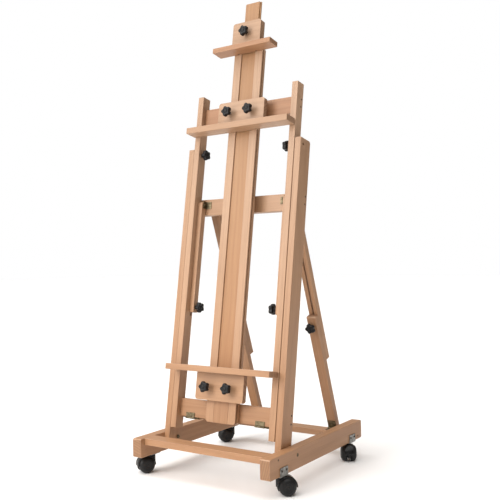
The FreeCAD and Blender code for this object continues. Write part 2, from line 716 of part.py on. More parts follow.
def mast_screw_points():
    """Screws from behind the two cross-bars into the mast's strips."""
    points = []
    for top in (UPPER_CROSS_TOP, LOWER_CROSS_TOP):
        for side in (-1, 1):
            x = side * (STRIP_IN + STRIP_W / 2)
            points.append((V(x, CROSS_REAR, top - CROSS_H / 2), Y_AXIS * -1))
    return points


def tilt_leaf_moving(side):
    """Short leaf on the lower cross-bar's front with the outer knuckles."""
    x = side * TILT_X
    depth, height = TILT_PIVOT
    low = LOWER_CROSS_TOP - CROSS_H
    front = CROSS_FRONT - GAP
    half = HINGE_W / 2
    third = HINGE_W / 3
    parts = [block(x - half, x + half, front - HINGE_T, front, low + TILT_LEAF_LOW, low + TILT_LEAF_TOP)]
    for start in (x - half, x + third / 2):
        end = start + third - GAP
        parts.append(rod(V(start, depth, height), X_AXIS, KNUCKLE_R, end - start))
        parts.append(block(start, end, front - HINGE_T, depth + THROUGH, height, low + TILT_NECK_TOP))
    body = fused(parts).cut(rod(V(x - HINGE_W, depth, height), X_AXIS, PIN_R + RUN, 2 * HINGE_W))
    middle = third / 2 + GAP
    room = block(x - middle, x + middle, depth - TILT_ROOM, depth + TILT_ROOM,
                 height - TILT_ROOM, low + TILT_ROOM_TOP)
    return body.cut(room)


# ---------------------------------------------------------------- mast
def mast_strip(side):
    """Side strip of the outer mast, grooved outside for the holders and inside for the inner mast."""
    body = board(STRIP_IN, MAST_W / 2, MAST_FRONT, MAST_REAR, MAST_FOOT, MAST_TOP)
    foot = MAST_FOOT - THROUGH
    top = MAST_TOP + THROUGH
    behind, width, depth = SIDE_GROOVE
    y0 = MAST_FRONT + behind
    body = body.cut(block(MAST_W / 2 - depth, MAST_W, y0, y0 + width, foot, top))
    body = body.cut(tongue_way(STRIP_IN, foot, top))
    outer = MAST_W / 2 + THROUGH
    front = MAST_FRONT - THROUGH
    corner = [V(outer, front, foot), V(outer, front, MAST_FOOT + MAST_CHAMFER),
              V(MAST_W / 2 - MAST_CHAMFER - THROUGH, front, foot)]
    wedge = Part.Face(Part.makePolygon(corner + corner[:1]))
    body = body.cut(wedge.extrude(Y_AXIS * (MAST_D + 2 * THROUGH)))
    body = mirrored(body) if side < 0 else body
    return leaned(cut_pilots(body, mast_screw_points(), MAST_SCREW_LEN))


def tongue_way(edge, low, high):
    """Room for the inner mast's tongue in a piece that starts beside edge."""
    set_back, thick, reach = TONGUE
    y0 = INNER_FRONT + set_back - SLIDE_PLAY
    return block(0, edge + reach + SLIDE_PLAY, y0, y0 + thick + 2 * SLIDE_PLAY, low, high)


def mast_filling(front, rear, top):
    """Board between the mast's two strips."""
    half = STRIP_IN - GAP
    return leaned(board(-half, half, front, rear, MAST_FOOT, top, SLIM_EASE))


def inner_mast():
    """Sliding centre board with a tongue along each edge."""
    set_back, thick, reach = TONGUE
    rear = INNER_FRONT + INNER_D
    body = board(-INNER_HALF, INNER_HALF, INNER_FRONT, rear, INNER_FOOT, INNER_TOP, SLIM_EASE)
    half = INNER_HALF + reach
    y0 = INNER_FRONT + set_back
    tongues = board(-half, half, y0, y0 + thick, INNER_FOOT, INNER_TOP, TONGUE_EASE)
    return leaned(fused([body, tongues]))


# ---------------------------------------------------------------- holders
def ledge_screw_points(spec, below, half_pitch, depth):
    """Screws through a ledge into the block above or below it."""
    low, thick = spec
    z = low if below else low + thick
    into = Z_AXIS if below else Z_AXIS * -1
    return [(V(s * half_pitch, depth, z), into) for s in (-1, 1)]


def holder_block(low, high, round_top):
    """Front block with a cheek behind each end that hooks into the mast's side groove."""
    rear = MAST_FRONT - GAP
    body = block(-PLATE_HALF, PLATE_HALF, HOLDER_FRONT, rear, low, high)
    body = rounded_corners(body, high if round_top else low)
    foot = low + CHEEK_SHORT
    top = high - CHEEK_SHORT
    behind, width, depth = SIDE_GROOVE
    cheek_x = MAST_W / 2 + SLIDE_PLAY
    lip_x = cheek_x - depth
    lip_y = MAST_FRONT + behind + SLIDE_PLAY
    cheek = block(cheek_x, cheek_x + CHEEK_T, rear, MAST_REAR - CHEEK_REAR_PLAY, foot, top)
    lip = block(lip_x, cheek_x, lip_y, lip_y + width - 2 * SLIDE_PLAY, foot, top)
    hook = fused([cheek, lip])
    return fused([body, hook, mirrored(hook)])


def rounded_corners(body, level):
    """Round a block's two corners at one height."""
    corners = [e for e in body.Edges if runs_along_y(e) and abs(e.BoundBox.ZMin - level) < TINY]
    return body.makeFillet(HOLDER_ROUND, corners)


def with_press_bores(body, height):
    for side in (-1, 1):
        start = V(side * PRESS_X, HOLDER_FRONT - THROUGH, height)
        body = body.cut(rod(start, Y_AXIS, BOLT_R + RUN, HOLDER_T + 2 * THROUGH))
    return body


def upper_screws():
    return ledge_screw_points(UPPER_LEDGE, True, HOLDER_SCREW_X, HOLDER_FRONT + HOLDER_T / 2)


def tray_screws():
    return ledge_screw_points(TRAY_LEDGE, False, HOLDER_SCREW_X, HOLDER_FRONT + HOLDER_T / 2)


def clamp_screws():
    return ledge_screw_points(CLAMP_LEDGE, True, CLAMP_SCREW_X, CLAMP_FRONT + CLAMP_SCREW_SET)


def ledge(spec, half, points, length):
    low, thick = spec
    rear = MAST_FRONT - GAP
    body = board(-half, half, rear - LEDGE_D, rear, low, low + thick, LEDGE_EASE)
    return leaned(cut_screws(body, points, length))


def upper_block():
    body = holder_block(UPPER_LOW, UPPER_TOP, True)
    return leaned(cut_screws(with_press_bores(body, UPPER_KNOB_S), upper_screws(), HOLDER_SCREW_LEN))


def tray_block():
    body = holder_block(TRAY_FOOT, TRAY_HIGH, False)
    return leaned(cut_screws(with_press_bores(body, TRAY_KNOB_S), tray_screws(), HOLDER_SCREW_LEN))


def press_knob(side, height):
    """Knob whose stud presses on the mast's strip."""
    point = V(side * PRESS_X, HOLDER_FRONT, height)
    return leaned(knob(point, Y_AXIS * -1, PRESS_REACH, HOLDER_T))


def clamp_block():
    """Top clamp: a block with two cheeks whose grooves ride the inner mast's tongues."""
    rear = CLAMP_FRONT + CLAMP_T
    body = block(-CLAMP_HALF, CLAMP_HALF, CLAMP_FRONT, rear, CLAMP_LOW, CLAMP_TOP)
    body = rounded_corners(body, CLAMP_TOP)
    x0 = INNER_HALF + SLIDE_PLAY
    cheek = block(x0, x0 + CLAMP_CHEEK_T, rear, INNER_FRONT + INNER_D, CLAMP_LOW, CLAMP_TOP - CHEEK_SHORT)
    cheek = cheek.cut(tongue_way(INNER_HALF, CLAMP_LOW - THROUGH, CLAMP_TOP))
    body = fused([body, cheek, mirrored(cheek)])
    start = V(0, CLAMP_FRONT - THROUGH, CLAMP_KNOB_S)
    body = body.cut(rod(start, Y_AXIS, BOLT_R + RUN, CLAMP_T + 2 * THROUGH))
    return leaned(cut_screws(body, clamp_screws(), CLAMP_SCREW_LEN))


def clamp_knob():
    point = V(0, CLAMP_FRONT, CLAMP_KNOB_S)
    return leaned(knob(point, Y_AXIS * -1, CLAMP_KNOB_OUT, CLAMP_T))


# ---------------------------------------------------------------- stays
def stay(side):
    depth = STAY_PIVOT[0]
    body = board(STAY_IN, STAY_OUT, depth - STAY_D / 2, depth + STAY_D / 2,
                 STAY_BOLT[1] - STAY_END, STAY_PIVOT[1])
    body = body.fuse(rod(V(STAY_IN, depth, STAY_PIVOT[1]), X_AXIS, STAY_D / 2, STAY_W)).removeSplitter()
    for d, s in (STAY_PIVOT, STAY_BOLT):
        start = V(STAY_IN - THROUGH, d, s)
        body = body.cut(rod(start, X_AXIS, BOLT_R + RUN, STAY_W + 2 * THROUGH))
    body = mirrored(body) if side < 0 else body
    return leaned(body)


def stay_knob(side):
    """Knob whose stud runs through the stay and the rail's slot to a nut on the far side."""
    point = V(side * STAY_IN, *STAY_BOLT)
    nut_at = STAY_W + GAP + RAIL_W - NUT_T - NUT_SET
    return leaned(knob(point, X_AXIS * -side, HUB_T + GAP, nut_at + THROUGH, nut_at))


# ---------------------------------------------------------------- struts
def strut_lower(side):
    x = side * STRUT_X
    half = STRUT_W / 2
    body = board(x - half, x + half, STRUT_FACE, STRUT_FACE + STRUT_T, -STRUT_T, LOWER_LEN)
    front = STRUT_FACE - THROUGH
    body = body.cut(rod(V(x, front, STRUT_BOLT_U), Y_AXIS, BOLT_R + RUN, STRUT_T + 2 * THROUGH))
    corners = [V(x - STRUT_W, front, LOWER_LEN + THROUGH),
               V(x - STRUT_W, STRUT_FACE + STRUT_BEVEL, LOWER_LEN + THROUGH),
               V(x - STRUT_W, front, LOWER_LEN - STRUT_BEVEL)]
    wedge = Part.Face(Part.makePolygon(corners + corners[:1])).extrude(X_AXIS * (2 * STRUT_W))
    body = strutted(body.cut(wedge))
    floor = REAR_BOARD_Z + BOARD_T + FOOT_CLEAR
    return body.common(block(x - STRUT_W, x + STRUT_W, -BASE_D, BASE_D / 2 - GAP, floor, FRAME_TOP))


def strut_upper(side):
    x = side * STRUT_X
    half = STRUT_T / 2
    y0 = UPPER_FACE
    body = board(x - STRUT_W / 2, x + STRUT_W / 2, y0, y0 + STRUT_T, UPPER_FOOT, HEAD_U)
    body = body.fuse(rod(V(x - STRUT_W / 2, y0 + half, HEAD_U), X_AXIS, half, STRUT_W)).removeSplitter()
    body = body.cut(rod(V(x - STRUT_W, y0 + half, HEAD_U), X_AXIS, HEAD_HOLE_R, 2 * STRUT_W))
    low = V(x, y0 - THROUGH, STRUT_SLOT[0])
    high = V(x, y0 - THROUGH, STRUT_SLOT[1])
    return strutted(body.cut(slot(low, high, Y_AXIS, STRUT_SLOT_W, STRUT_T + 2 * THROUGH)))


def strut_foot_leaf(side):
    """Moving half of a foot hinge, on the lower bar's front."""
    third = HINGE_W / 3
    x = side * STRUT_X
    front = STRUT_FACE - GAP
    back = front - HINGE_T
    parts = [block(x - FOOT_LEAF_HALF, x + FOOT_LEAF_HALF, back, front, KNUCKLE_R + GAP, LEAF_TOP)]
    for start in (x - HINGE_W / 2, x + HINGE_W / 6 + GAP):
        parts.append(rod(V(start, 0, 0), X_AXIS, KNUCKLE_R, third - GAP))
        parts.append(block(start, start + third - GAP, back, front, 0, KNUCKLE_R + THROUGH))
    body = fused(parts).cut(rod(V(x - HINGE_W, 0, 0), X_AXIS, PIN_R + RUN, 2 * HINGE_W))
    middle = third / 2 + GAP
    reach = 2 * KNUCKLE_R
    return strutted(body.cut(block(x - middle, x + middle, -reach, reach, -reach, KNUCKLE_R + GAP)))


def strut_knob(side):
    """Knob in front of a strut; its stud runs through both bars to a nut behind."""
    point = V(side * STRUT_X, STRUT_FACE, STRUT_BOLT_U)
    nut_at = 2 * STRUT_T + 2 * GAP
    return strutted(knob(point, Y_AXIS * -1, HUB_T + GAP, nut_at + NUT_T, nut_at))


# ---------------------------------------------------------------- build
def build():
    os.makedirs("parts", exist_ok=True)
    sides = (("left", -1), ("right", 1))
    export(cross_board(FRONT_BOARD_Y, BOARD_Z), "front_board")
    export(cross_board(REAR_BOARD_Y, REAR_BOARD_Z), "rear_board")
    base_steel = [screw(p, i, SIDE_SCREW_LEN) for p, i in board_screw_points()]
    base_steel += [pan_screw(p, i, PLATE_SCREW_LEN) for p, i in plate_screw_points()]
    base_steel += [lean_bolt(s) for _n, s in sides]
    export(group(base_steel), "base_fasteners")
    export(group([caster_plate(s, e) for s, e, _t in CASTERS.values()]), "caster_plates")
    export(foot_leaves(), "foot_hinge_leaves")
    for name, (side, end, turn) in CASTERS.items():
        export(place_caster(caster_hood(), side, end, turn), "caster_hood_" + name)
        export(place_caster(caster_wheels(), side, end, turn), "caster_wheels_" + name)
    for name, side in sides:
        export(skid(side), "skid_" + name)
        export(post(side), "post_" + name)
        export(rail(side), "rail_" + name)
        export(mast_strip(side), "mast_strip_" + name)
        export(stay(side), "stay_" + name)
        export(strut_lower(side), "strut_lower_" + name)
        export(strut_upper(side), "strut_upper_" + name)
        export(strut_foot_leaf(side), "strut_foot_leaf_" + name)
        export(lock_knob(side), "lock_knob_" + name)
        export(stay_knob(side), "stay_knob_" + name)
        export(strut_knob(side), "strut_knob_" + name)
        export(press_knob(side, UPPER_KNOB_S), "upper_knob_" + name)
        export(press_knob(side, TRAY_KNOB_S), "tray_knob_" + name)
    export(leaned(middle_bar()), "middle_bar")
    export(leaned(frame_bar(LOW_BAR_TOP)), "rear_low_bar")
    frame_steel = [screw(p, i, POST_SCREW_LEN) for p, i in post_screws()]
    frame_steel += [lock_bolt(s) for _n, s in sides]
    export(leaned(group(frame_steel)), "frame_fasteners")
    fixed = [piece(s) for piece in (tilt_leaf_fixed, stay_bracket, head_bracket) for _n, s in sides]
    export(leaned(group(fixed)), "frame_hinges")
    export(cross_bar(UPPER_CROSS_TOP), "upper_cross_bar")
    export(cross_bar(LOWER_CROSS_TOP), "lower_cross_bar")
    inner_steel = [screw(p, i, RAIL_SCREW_LEN) for p, i in rail_screws()]
    inner_steel += [screw(p, i, MAST_SCREW_LEN) for p, i in mast_screw_points()]
    export(leaned(group(inner_steel)), "inner_fasteners")
    export(leaned(group([tilt_leaf_moving(s) for _n, s in sides])), "tilt_hinge_leaves")
    export(mast_filling(BACK_FRONT, MAST_REAR, MAST_TOP), "mast_back")
    foot_block = mast_filling(MAST_FRONT, BACK_FRONT - GAP, MAST_FOOT + FOOT_BLOCK_H)
    export(foot_block, "mast_foot_block")
    export(inner_mast(), "inner_mast")
    export(upper_block(), "upper_block")
    export(ledge(UPPER_LEDGE, LEDGE_HALF, upper_screws(), HOLDER_SCREW_LEN), "upper_ledge")
    export(leaned(group([screw(p, i, HOLDER_SCREW_LEN) for p, i in upper_screws()])), "upper_screws")
    export(tray_block(), "tray_block")
    export(ledge(TRAY_LEDGE, LEDGE_HALF, tray_screws(), HOLDER_SCREW_LEN), "tray_ledge")
    export(leaned(group([screw(p, i, HOLDER_SCREW_LEN) for p, i in tray_screws()])), "tray_screws")
    export(clamp_block(), "clamp_block")
    export(ledge(CLAMP_LEDGE, CLAMP_LEDGE_HALF, clamp_screws(), CLAMP_SCREW_LEN), "clamp_ledge")
    export(leaned(group([screw(p, i, CLAMP_SCREW_LEN) for p, i in clamp_screws()])), "clamp_screws")
    export(clamp_knob(), "clamp_knob")


build()
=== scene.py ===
import json
import math
import random

import bmesh
import bpy
import numpy as np
from mathutils import Matrix, Vector


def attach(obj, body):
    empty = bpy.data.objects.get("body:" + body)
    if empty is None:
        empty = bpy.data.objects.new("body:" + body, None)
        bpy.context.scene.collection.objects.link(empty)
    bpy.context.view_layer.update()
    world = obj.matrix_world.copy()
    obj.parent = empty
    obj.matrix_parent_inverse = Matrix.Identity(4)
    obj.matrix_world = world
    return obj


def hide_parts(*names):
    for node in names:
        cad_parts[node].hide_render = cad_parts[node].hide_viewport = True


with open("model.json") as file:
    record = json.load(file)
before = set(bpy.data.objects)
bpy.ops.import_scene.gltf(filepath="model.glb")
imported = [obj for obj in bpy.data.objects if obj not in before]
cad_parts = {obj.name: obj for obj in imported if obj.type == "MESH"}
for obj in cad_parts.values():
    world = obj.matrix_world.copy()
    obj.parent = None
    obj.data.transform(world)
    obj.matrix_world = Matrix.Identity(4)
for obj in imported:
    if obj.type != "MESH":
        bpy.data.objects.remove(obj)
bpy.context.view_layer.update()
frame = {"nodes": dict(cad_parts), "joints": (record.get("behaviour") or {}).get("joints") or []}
JOINTS = {joint["name"]: joint for joint in frame["joints"]}
NODES = frame["nodes"]
MM = 0.001
CORNERS = ("front_left", "front_right", "rear_left", "rear_right")

# ------------------------------------------------------------------ directions of the object
LEAN_AXIS = Vector(JOINTS["upper_holder_slide"]["axis"]).normalized()
FRAME_BACK = -Vector(JOINTS["clamp_knob_turn"]["axis"]).normalized()
STRUT_AXIS = Vector(JOINTS["strut_left_slide"]["axis"]).normalized()
STRUT_BACK = -Vector(JOINTS["strut_knob_left_turn"]["axis"]).normalized()
X_AXIS = Vector((1, 0, 0))
Y_AXIS = Vector((0, 1, 0))
Z_AXIS = Vector((0, 0, 1))


# ------------------------------------------------------------------ node tree helper
class Tree:
    """Short names for building a material's nodes."""

    def __init__(self, name):
        self.material = bpy.data.materials.new(name)
        self.material.use_nodes = True
        self.tree = self.material.node_tree
        self.shader = self.tree.nodes["Principled BSDF"]

    def add(self, kind, **values):
        node = self.tree.nodes.new(kind)
        for key, value in values.items():
            setattr(node, key, value)
        return node

    def link(self, out, socket):
        self.tree.links.new(out, socket)

    def feed(self, node, index, value):
        if hasattr(value, "is_output"):
            self.link(value, node.inputs[index])
        else:
            node.inputs[index].default_value = value

    def math(self, operation, a, b=0.0, c=0.0, clamp=False):
        node = self.add("ShaderNodeMath", operation=operation, use_clamp=clamp)
        for index, value in enumerate((a, b, c)):
            self.feed(node, index, value)
        return node.outputs[0]

    def vmath(self, operation, a, b=None):
        node = self.add("ShaderNodeVectorMath", operation=operation)
        self.feed(node, 0, a)
        if b is not None:
            self.feed(node, 1, b)
        return node.outputs["Value" if operation in ("DOT_PRODUCT", "LENGTH") else "Vector"]

    def mapped(self, vector, location=(0, 0, 0), rotation=(0, 0, 0), scale=(1, 1, 1)):
        node = self.add("ShaderNodeMapping")
        self.link(vector, node.inputs["Vector"])
        node.inputs["Location"].default_value = location
        node.inputs["Rotation"].default_value = rotation
        node.inputs["Scale"].default_value = scale
        return node.outputs[0]

    def noise(self, vector, scale, detail=3.0, roughness=0.5):
        node = self.add("ShaderNodeTexNoise")
        self.link(vector, node.inputs["Vector"])
        node.inputs["Scale"].default_value = scale
        node.inputs["Detail"].default_value = detail
        node.inputs["Roughness"].default_value = roughness
        return node.outputs["Fac"]

    def voronoi(self, vector, scale):
        node = self.add("ShaderNodeTexVoronoi")
        self.link(vector, node.inputs["Vector"])
        node.inputs["Scale"].default_value = scale
        return node.outputs["Distance"]

    def spread(self, value, low, high, to_low=0.0, to_high=1.0):
        node = self.add("ShaderNodeMapRange")
        self.link(value, node.inputs["Value"])
        node.inputs["From Min"].default_value = low
        node.inputs["From Max"].default_value = high
        node.inputs["To Min"].default_value = to_low
        node.inputs["To Max"].default_value = to_high
        return node.outputs[0]

    def mix(self, factor, a, b, blend="MIX"):
        node = self.add("ShaderNodeMix", data_type="RGBA", blend_type=blend)
        self.feed(node, 0, factor)
        self.feed(node, 6, a if hasattr(a, "is_output") else (*a, 1.0))
        self.feed(node, 7, b if hasattr(b, "is_output") else (*b, 1.0))
        return node.outputs[2]

    def bump(self, height, distance, strength):
        node = self.add("ShaderNodeBump")
        node.inputs["Distance"].default_value = distance
        node.inputs["Strength"].default_value = strength
        self.link(height, node.inputs["Height"])
        self.link(node.outputs[0], self.shader.inputs["Normal"])

    def set(self, **values):
        for key, value in values.items():
            self.feed(self.shader, key.replace("_", " "), value)


# ------------------------------------------------------------------ wood
BEECH = ((0.445, 0.272, 0.164), (0.325, 0.184, 0.102))
BEECH_PALE = ((0.480, 0.308, 0.198), (0.360, 0.217, 0.130))
BEECH_WARM = ((0.410, 0.224, 0.106), (0.300, 0.150, 0.066))
BEECH_RED = ((0.400, 0.208, 0.108), (0.290, 0.138, 0.066))
PORE = (0.130, 0.064, 0.034)
END_GRAIN = (0.200, 0.108, 0.060)
WORN = (0.530, 0.370, 0.260)
PAINTED_SHADE_COLOUR = (1.0, 0.84, 0.66)    # painted shade: the wood is drawn warmer and darker towards the foot
PAINTED_SHADE_TOP = 1.25                  # height in metres where the painted shade begins
PAINTED_SHADE_FOOT = 0.15                 # height where the painted shade is full
PAINTED_SHADE_SHARE = 0.75
RING_SCALE = 95.0                # growth rings for each metre from the pith
RING_WANDER = 9.0
RING_POWER = 2.2                 # above 1, late wood is a thin dark line


def wood(name, grain, face, seed, tones):
    """Planed and oiled wood with its fibres along grain; face is the board's broad side's normal."""
    draw = random.Random(seed)
    m = Tree("wood_" + name)
    side = face.cross(grain).normalized()
    turn = Matrix((side, face, grain)).to_euler("XYZ")
    coords = m.add("ShaderNodeTexCoord")
    start = tuple(draw.uniform(-4, 4) for _ in range(3))
    local = m.mapped(coords.outputs["Object"], location=start, rotation=turn)
    normal = m.mapped(coords.outputs["Normal"], rotation=turn)

    wander = m.noise(m.mapped(local, scale=(5, 5, 1.1)), 1.0, 2.0)
    pith = m.mapped(local, location=(draw.uniform(-0.03, 0.03), draw.uniform(0.05, 0.12), 0),
                    scale=(1.0, 1.0, draw.uniform(0.015, 0.05)))
    rings = m.math("MULTIPLY_ADD", m.vmath("LENGTH", m.mapped(pith, scale=(1, 1, 0.2))), RING_SCALE,
                   m.math("MULTIPLY", wander, RING_WANDER))
    band = m.math("PINGPONG", rings, 1.0)
    band = m.math("POWER", band, RING_POWER)
    streak = m.noise(m.mapped(local, scale=(140, 140, 2.2)), 1.0, 4.0, 0.6)
    fibre = m.noise(m.mapped(local, scale=(900, 900, 14)), 1.0, 3.0, 0.6)
    fleck = m.voronoi(m.mapped(local, scale=(620, 620, 95)), 1.0)
    pore = m.spread(fleck, 0.10, 0.24, 1.0, 0.0)
    pore = m.math("MULTIPLY", pore, m.spread(streak, 0.42, 0.62))
    blotch = m.noise(m.mapped(local, scale=(7, 7, 2.0)), 1.0, 2.0)

    light, dark = tones
    tone = m.math("MULTIPLY_ADD", band, 0.30, m.spread(streak, 0.25, 0.75, 0.0, 0.50))
    tone = m.math("ADD", tone, m.spread(blotch, 0.3, 0.7, -0.10, 0.22), clamp=True)
    colour = m.mix(tone, light, dark)
    colour = m.mix(m.spread(fibre, 0.30, 0.70, 0.16, 0.0), colour, PORE)
    colour = m.mix(m.math("MULTIPLY", pore, 0.35), colour, PORE)

    # painted shade: a warm, darker tint is multiplied into the colour towards the foot
    place = m.add("ShaderNodeSeparateXYZ")
    m.link(coords.outputs["Object"], place.inputs[0])
    low = m.spread(place.outputs[2], PAINTED_SHADE_TOP, PAINTED_SHADE_FOOT)
    colour = m.mix(m.math("MULTIPLY", low, PAINTED_SHADE_SHARE), colour, m.mix(1.0, colour, PAINTED_SHADE_COLOUR, "MULTIPLY"))
    apart = m.add("ShaderNodeSeparateXYZ")
    m.link(m.vmath("ABSOLUTE", normal), apart.inputs[0])
    end = m.spread(apart.outputs[2], 0.72, 0.95)
    end_rings = m.spread(m.math("PINGPONG", rings, 0.5), 0.1, 0.45, 0.35, 0.75)
    colour = m.mix(m.math("MULTIPLY", end, end_rings), colour, END_GRAIN)
    flat = m.math("MAXIMUM", apart.outputs[0], m.math("MAXIMUM", apart.outputs[1], apart.outputs[2]))
    edge = m.spread(flat, 0.97, 0.78)
    rub = m.noise(m.mapped(local, scale=(30, 30, 12)), 1.0, 3.0)
    worn = m.math("MULTIPLY", edge, m.spread(rub, 0.35, 0.65, 0.10, 0.55))
    colour = m.mix(worn, colour, WORN)

    rough = m.math("MULTIPLY_ADD", fibre, 0.16, m.spread(blotch, 0.3, 0.7, 0.34, 0.44))
    rough = m.math("MULTIPLY_ADD", end, 0.2, rough)
    m.set(Base_Color=colour, Roughness=rough)
    relief = m.math("MULTIPLY_ADD", fibre, 0.6, m.math("MULTIPLY", streak, 0.3))
    m.bump(m.math("MULTIPLY_ADD", pore, -0.8, relief), 0.22 * MM, 0.55)
    m.shader.inputs["IOR"].default_value = 1.46
    m.shader.inputs["Coat Weight"].default_value = 0.06
    m.shader.inputs["Coat Roughness"].default_value = 0.35
    return m.material


# ------------------------------------------------------------------ plastic and metal
def plastic(name, colour, dusty, roughness, grain, seed):
    m = Tree(name)
    coords = m.add("ShaderNodeTexCoord")
    place = m.mapped(coords.outputs["Object"], location=(seed, 0.4 * seed, 0))
    cloud = m.noise(place, 45.0, 4.0, 0.6)
    fine = m.noise(place, 1900.0, 2.0, 0.5)
    scuff = m.noise(m.mapped(place, scale=(1, 1, 9)), 110.0, 4.0, 0.7)
    shade = m.mix(m.spread(cloud, 0.35, 0.75, 0.0, 0.55), colour, dusty)
    shade = m.mix(m.spread(scuff, 0.60, 0.80, 0.0, 0.35), shade, dusty)
    m.set(Base_Color=shade, Roughness=m.math("MULTIPLY_ADD", cloud, 0.22, roughness - 0.11))
    m.bump(m.math("MULTIPLY_ADD", fine, grain, m.math("MULTIPLY", scuff, 0.2)), 0.12 * MM, 0.6)
    m.shader.inputs["Specular IOR Level"].default_value = 0.28
    return m.material


def metal(name, colour, tarnish, roughness, brushed, seed):
    m = Tree(name)
    coords = m.add("ShaderNodeTexCoord")
    place = m.mapped(coords.outputs["Object"], location=(seed, -seed, 0.3 * seed))
    cloud = m.noise(place, 85.0, 5.0, 0.62)
    grain = m.noise(m.mapped(place, scale=brushed), 240.0, 3.0, 0.6)
    spot = m.noise(place, 420.0, 3.0, 0.6)
    shade = m.mix(m.spread(cloud, 0.38, 0.72), colour, tarnish)
    shade = m.mix(m.spread(spot, 0.60, 0.78, 0.0, 0.5), shade, tarnish)
    base = m.spread(cloud, 0.3, 0.7, roughness - 0.16, roughness)
    m.set(Base_Color=shade, Roughness=m.math("MULTIPLY_ADD", grain, 0.24, base))
    m.bump(m.math("MULTIPLY_ADD", grain, 0.5, m.math("MULTIPLY", spot, 0.5)), 0.08 * MM, 0.6)
    m.shader.inputs["Metallic"].default_value = 1.0
    return m.material


KNOB_BLACK = plastic("knob_plastic", colour=(0.0055, 0.0055, 0.0065), dusty=(0.013, 0.013, 0.013),
                     roughness=0.42, grain=0.35, seed=1.0)
CASTER_BLACK = plastic("caster_plastic", colour=(0.0065, 0.0065, 0.007), dusty=(0.016, 0.016, 0.016),
                       roughness=0.28, grain=0.15, seed=2.0)
TYRE_BLACK = plastic("wheel_plastic", colour=(0.0075, 0.0075, 0.008), dusty=(0.022, 0.021, 0.020),
                     roughness=0.42, grain=0.5, seed=3.0)
ZINC = metal("zinc_plate", colour=(0.33, 0.33, 0.315), tarnish=(0.16, 0.15, 0.135),
             roughness=0.44, brushed=(1, 1, 0.2), seed=4.0)
BRASS = metal("aged_brass", colour=(0.225, 0.185, 0.115), tarnish=(0.085, 0.066, 0.040),
              roughness=0.48, brushed=(0.2, 1, 1), seed=5.0)
DARK_STEEL = metal("dark_steel", colour=(0.105, 0.085, 0.068), tarnish=(0.045, 0.034, 0.026),
                   roughness=0.48, brushed=(1, 1, 1), seed=6.0)
STUD_STEEL = metal("stud_steel", colour=(0.46, 0.45, 0.43), tarnish=(0.24, 0.22, 0.20),
                   roughness=0.36, brushed=(1, 1, 1), seed=7.0)


# ------------------------------------------------------------------ mesh helpers
def new_object(name, verts, faces, material, smooth_angle=0.7):
    mesh = bpy.data.meshes.new(name)
    mesh.from_pydata([tuple(v) for v in verts], [], faces)
    mesh.update()
    bm = bmesh.new()
    bm.from_mesh(mesh)
    bmesh.ops.remove_doubles(bm, verts=bm.verts, dist=1e-7)
    bmesh.ops.recalc_face_normals(bm, faces=bm.faces)
    for face in bm.faces:
        face.smooth = True
    for edge in bm.edges:
        if len(edge.link_faces) == 2 and edge.calc_face_angle(0.0) > smooth_angle:
            edge.smooth = False
    bm.to_mesh(mesh)
    bm.free()
    mesh.materials.append(material)
    obj = bpy.data.objects.new(name, mesh)
    bpy.context.collection.objects.link(obj)
    return obj


def axes_about(axis):
    axis = Vector(axis).normalized()
    first = axis.cross(Z_AXIS if abs(axis.z) < 0.9 else X_AXIS).normalized()
    return first, axis.cross(first), axis


def lathe(origin, axis, profile, turns, shape=None):
    """Verts and faces of a closed profile of (height, radius) turned about axis.

    shape(angle, radius) returns the radius at that angle; a radius of 0 closes the end.
    """
    first, second, axis = axes_about(axis)
    verts = []
    rings = []
    for height, radius in profile:
        if radius <= 1e-9:
            rings.append([len(verts)])
            verts.append(origin + axis * height)
            continue
        ring = []
        for step in range(turns):
            angle = 2 * math.pi * step / turns
            r = shape(angle, radius) if shape else radius
            ring.append(len(verts))
            verts.append(origin + axis * height + (first * math.cos(angle) + second * math.sin(angle)) * r)
        rings.append(ring)
    faces = []
    pairs = list(zip(rings, rings[1:]))
    if len(rings[0]) > 1 and len(rings[-1]) > 1:
        pairs.append((rings[-1], rings[0]))
    for low, high in pairs:
        for step in range(turns):
            nxt = (step + 1) % turns
            if len(low) == 1:
                faces.append((low[0], high[nxt], high[step]))
            elif len(high) == 1:
                faces.append((low[step], low[nxt], high[0]))
            else:
                faces.append((low[step], low[nxt], high[nxt], high[step]))
    return verts, faces


class Build:
    """Collects shells into one mesh."""

    def __init__(self):
        self.verts = []
        self.faces = []

    def add(self, shell):
        verts, faces = shell
        shift = len(self.verts)
        self.verts.extend(verts)
        self.faces.extend(tuple(index + shift for index in face) for face in faces)

    def object(self, name, material, smooth_angle=0.7):
        return new_object(name, self.verts, self.faces, material, smooth_angle)


def islands(node):
    """The separate solids of a CAD node, each as an array of its points."""
    bm = bmesh.new()
    bm.from_mesh(NODES[node].data)
    bmesh.ops.remove_doubles(bm, verts=bm.verts, dist=1e-6)
    seen = set()
    groups = []
    for vert in bm.verts:
        if vert in seen:
            continue
        stack = [vert]
        seen.add(vert)
        group = []
        while stack:
            here = stack.pop()
            group.append(here.co[:])
            for edge in here.link_edges:
                other = edge.other_vert(here)
                if other not in seen:
                    seen.add(other)
                    stack.append(other)
        groups.append(np.array(group))
    bm.free()
    return groups


# ------------------------------------------------------------------ fasteners
HEAD_SEGMENTS = 40
HEAD_RINGS = 9
HEAD_SINK = 0.12             # of a screw head's radius, as are the next three
HEAD_FIT = 0.97
HEAD_DOME = 0.10
HEAD_RECESS = 0.45
SLOT_HALF = 0.17             # of a drawn head's radius, as are the next four: half width of an arm
SLOT_REACH = 0.62            # length of an arm of the cross
SLOT_FADE = 0.75             # where the floor of the recess would meet the surface
RIM_FOOT = 0.94
RIM_DEPTH = 0.3
SHANK_SHOWN = 12 * MM        # length of shank drawn behind a head
SHANK_TURNS = 16
BOLT_HEAD_FROM = 5.0 * MM    # a fastener wider than this is a bolt, not a screw
BOLT_SHARE = 0.7             # a bolt's shank is thinner than this share of its head
STUD_TURNS = 20
THREAD_PITCH = 1.25 * MM


